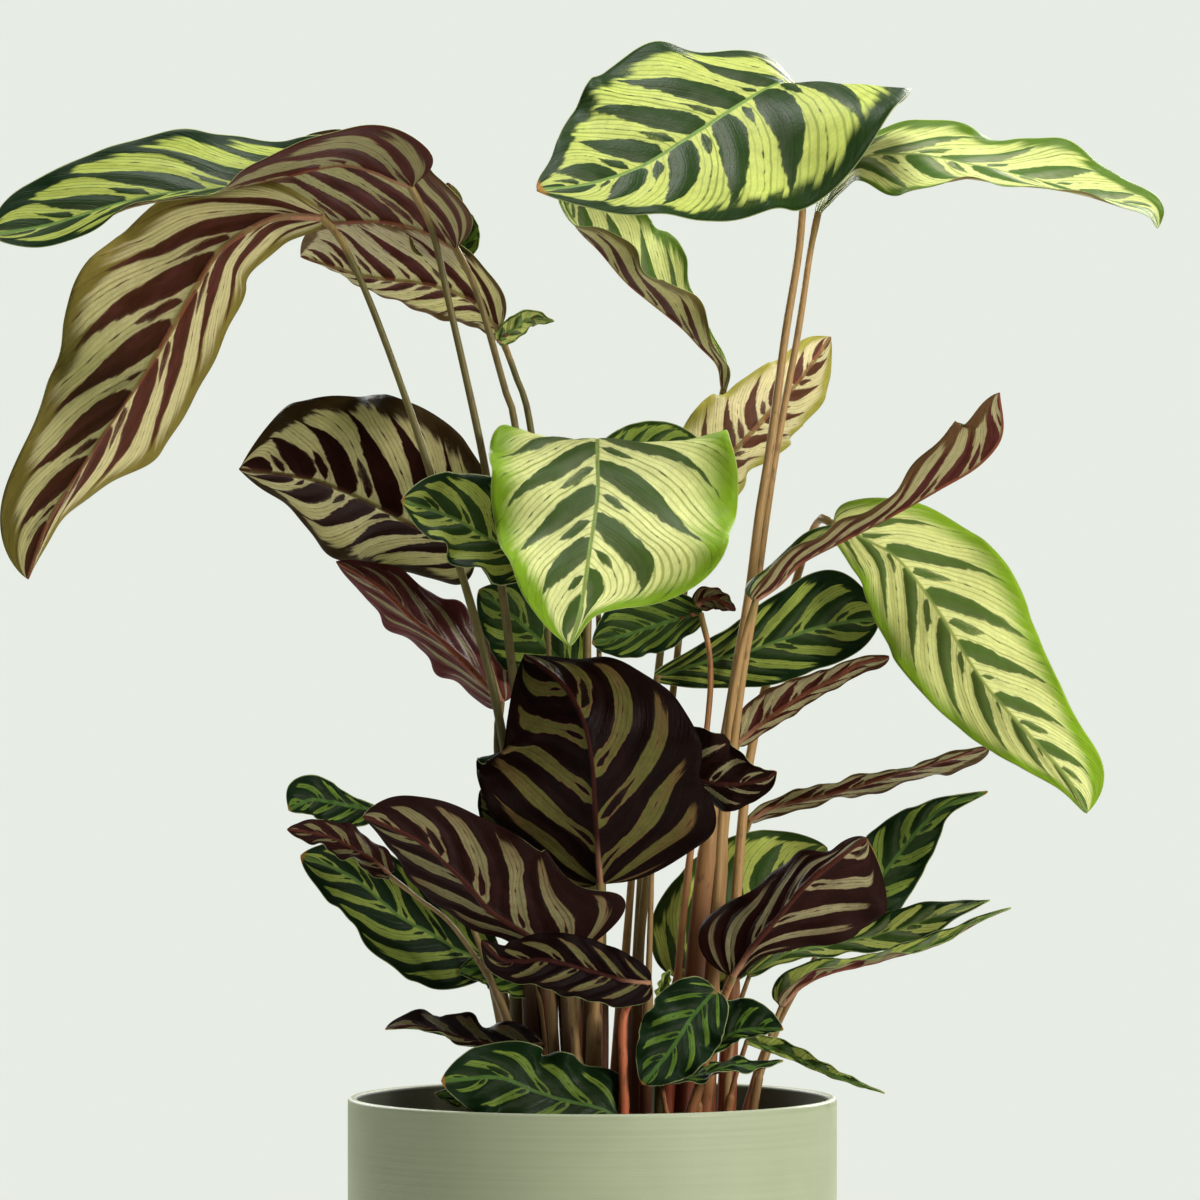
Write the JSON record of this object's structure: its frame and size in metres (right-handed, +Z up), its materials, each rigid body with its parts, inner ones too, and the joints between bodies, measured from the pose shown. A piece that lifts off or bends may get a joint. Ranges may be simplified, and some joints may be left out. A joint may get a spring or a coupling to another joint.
{
  "type": "potted calathea",
  "caption": "Potted calathea (peacock plant) with long-stalked patterned leaves, green above and maroon beneath, in a plain cylindrical glazed ceramic pot.",
  "frame": {"origin": "centre of the pot's flat underside, on the surface the pot stands on", "axes": "+Z up along the pot's axis; -Y towards the front, the side the plant is mainly seen from; +X to the viewer's right"},
  "size_m": [0.4538, 0.2039, 0.5919],
  "materials": {
    "pot_glaze": "matte sage-green glaze",
    "potting_mix": "rough, dark and damp",
    "blade_green": "satin leaf, upper side towards the front",
    "blade_maroon": "satin leaf, maroon underside towards the front",
    "stalk": "smooth tan leaf stalk"
  },
  "bodies": {
    "root": {"pot": "pot_glaze", "potting_mix": "potting_mix", "leaf_left_long_blade": "blade_green", "leaf_left_long_stalk": "stalk", "leaf_left_drooping_blade": "blade_maroon", "leaf_left_drooping_stalk": "stalk", "leaf_left_inner_blade": "blade_maroon", "leaf_left_inner_stalk": "stalk", "leaf_left_under_blade": "blade_maroon", "leaf_left_under_stalk": "stalk", "leaf_crown_blade": "blade_green", "leaf_crown_stalk": "stalk", "leaf_upper_right_blade": "blade_green", "leaf_upper_right_stalk": "stalk", "leaf_upper_middle_blade": "blade_green", "leaf_upper_middle_stalk": "stalk", "leaf_pale_blade": "blade_maroon", "leaf_pale_stalk": "stalk", "leaf_centre_blade": "blade_green", "leaf_centre_stalk": "stalk", "leaf_behind_centre_blade": "blade_green", "leaf_behind_centre_stalk": "stalk", "leaf_left_dark_blade": "blade_maroon", "leaf_left_dark_stalk": "stalk", "leaf_burgundy_blade": "blade_maroon", "leaf_burgundy_stalk": "stalk", "leaf_centre_dark_blade": "blade_maroon", "leaf_centre_dark_stalk": "stalk", "leaf_low_left_dark_blade": "blade_maroon", "leaf_low_left_dark_stalk": "stalk", "leaf_low_left_green_blade": "blade_green", "leaf_low_left_green_stalk": "stalk", "leaf_low_front_blade": "blade_maroon", "leaf_low_front_stalk": "stalk", "leaf_right_rising_blade": "blade_green", "leaf_right_rising_stalk": "stalk", "leaf_right_bright_blade": "blade_green", "leaf_right_bright_stalk": "stalk", "leaf_right_green_blade": "blade_green", "leaf_right_green_stalk": "stalk", "leaf_right_thin_blade": "blade_maroon", "leaf_right_thin_stalk": "stalk", "leaf_low_right_dark_blade": "blade_maroon", "leaf_low_right_dark_stalk": "stalk", "small_leaf_01": "blade_green", "small_leaf_02": "blade_maroon", "small_leaf_03": "blade_green", "small_leaf_04": "blade_maroon", "small_leaf_05": "blade_green", "small_leaf_06": "blade_green", "small_leaf_07": "blade_green", "small_leaf_08": "blade_green", "small_leaf_09": "blade_green", "small_leaf_10": "blade_green", "small_leaf_11": "blade_green", "small_leaf_12": "blade_green", "small_leaf_13": "blade_green", "small_leaf_14": "blade_maroon", "small_leaf_15": "blade_green", "small_leaf_16": "blade_maroon"}
  },
  "joints": []
}
